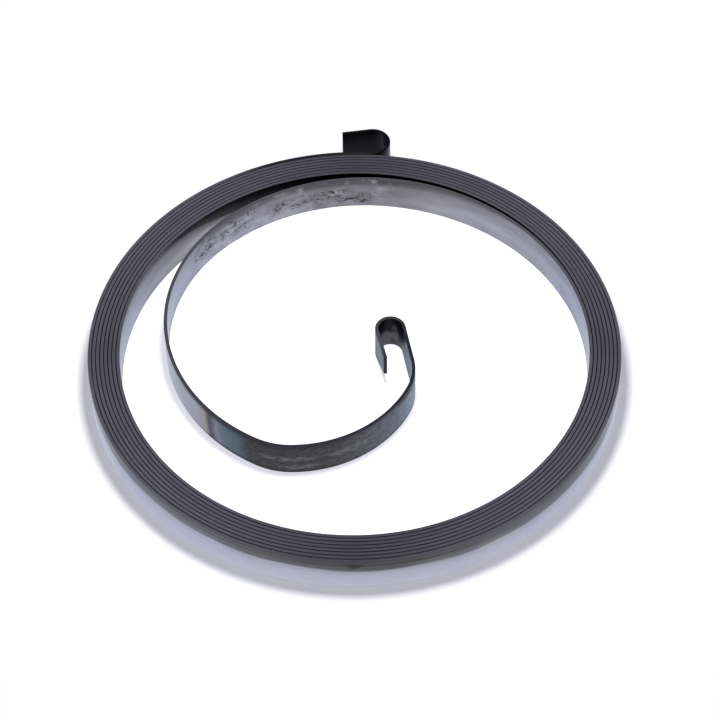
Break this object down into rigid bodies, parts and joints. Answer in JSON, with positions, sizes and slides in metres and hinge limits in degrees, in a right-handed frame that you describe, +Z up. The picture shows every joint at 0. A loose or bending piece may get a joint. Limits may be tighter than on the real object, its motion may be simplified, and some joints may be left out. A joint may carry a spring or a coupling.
{
  "type": "recoil starter spring",
  "caption": "Flat spiral recoil starter spring: one steel strip wound into a tight ring, with an inner arm ending in a U hook for the reel and an outer hook for the housing.",
  "frame": {"origin": "on the axis of the wound ring, at the plane its lower edges rest on", "axes": "+Z up along the ring's axis, +Y from the axis towards the outer hook, +X to the right as seen from the front"},
  "size_m": [0.0924, 0.0986, 0.007],
  "materials": {
    "steel": "cold-rolled spring steel, satin, darkened and heat-tinted towards the hooks"
  },
  "bodies": {
    "root": {"spring": "steel"}
  },
  "joints": []
}
